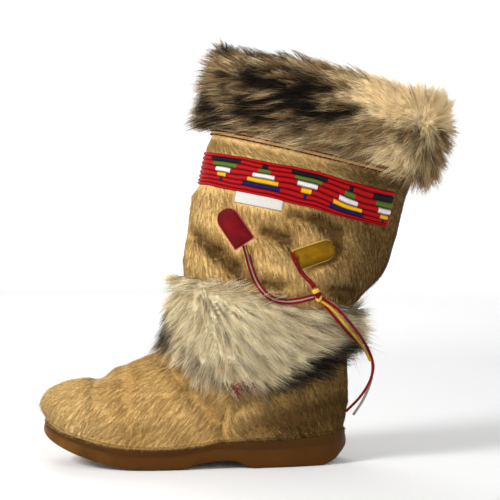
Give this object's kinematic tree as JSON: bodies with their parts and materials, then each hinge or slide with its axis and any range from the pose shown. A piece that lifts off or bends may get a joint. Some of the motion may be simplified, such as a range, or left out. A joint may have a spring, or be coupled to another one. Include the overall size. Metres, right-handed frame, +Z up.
{
  "type": "mukluk boot",
  "caption": "Left mukluk boot: hide upper on a low rubber sole, with a fur cuff, a fur anklet, a woven band and leather ties with beads.",
  "frame": {"origin": "on the floor, at the middle of the heel's flat tread", "axes": "+Z up the leg, -X towards the toe, +Y towards the wearer's other foot (the inner side)"},
  "size_m": [0.3628, 0.1374, 0.374],
  "materials": {
    "rubber": "honey-brown crepe rubber, slight gloss",
    "felt": "matt wool felt",
    "hide": "golden-tan hide with its short hair left on",
    "brown_fur": "deep fur, dark brown to cream",
    "cream_fur": "deep fur, cream with dark patches",
    "weave": "satin thread wound on cords, mostly red",
    "piping": "twisted dark red-brown cord",
    "label": "plain woven white tape",
    "red_leather": "dark red leather, fine grain",
    "yellow_leather": "olive-yellow leather, fine grain",
    "bead": "opaque yellow, glossy",
    "grey_cord": "grey-white leather strip"
  },
  "bodies": {
    "root": {"outsole": "rubber", "insole": "felt", "upper": "hide", "cuff_fur": "brown_fur", "ankle_fur": "cream_fur", "woven_band": "weave", "cuff_piping": "piping", "back_seam": "piping", "label": "label", "red_tab": "red_leather", "yellow_tab": "yellow_leather", "tie_front": "red_leather", "tie_rear": "red_leather", "bead_upper": "bead", "bead_lower": "bead", "end_red_short": "red_leather", "end_yellow": "yellow_leather", "end_red_long": "red_leather", "end_grey_long": "grey_cord"}
  },
  "joints": []
}
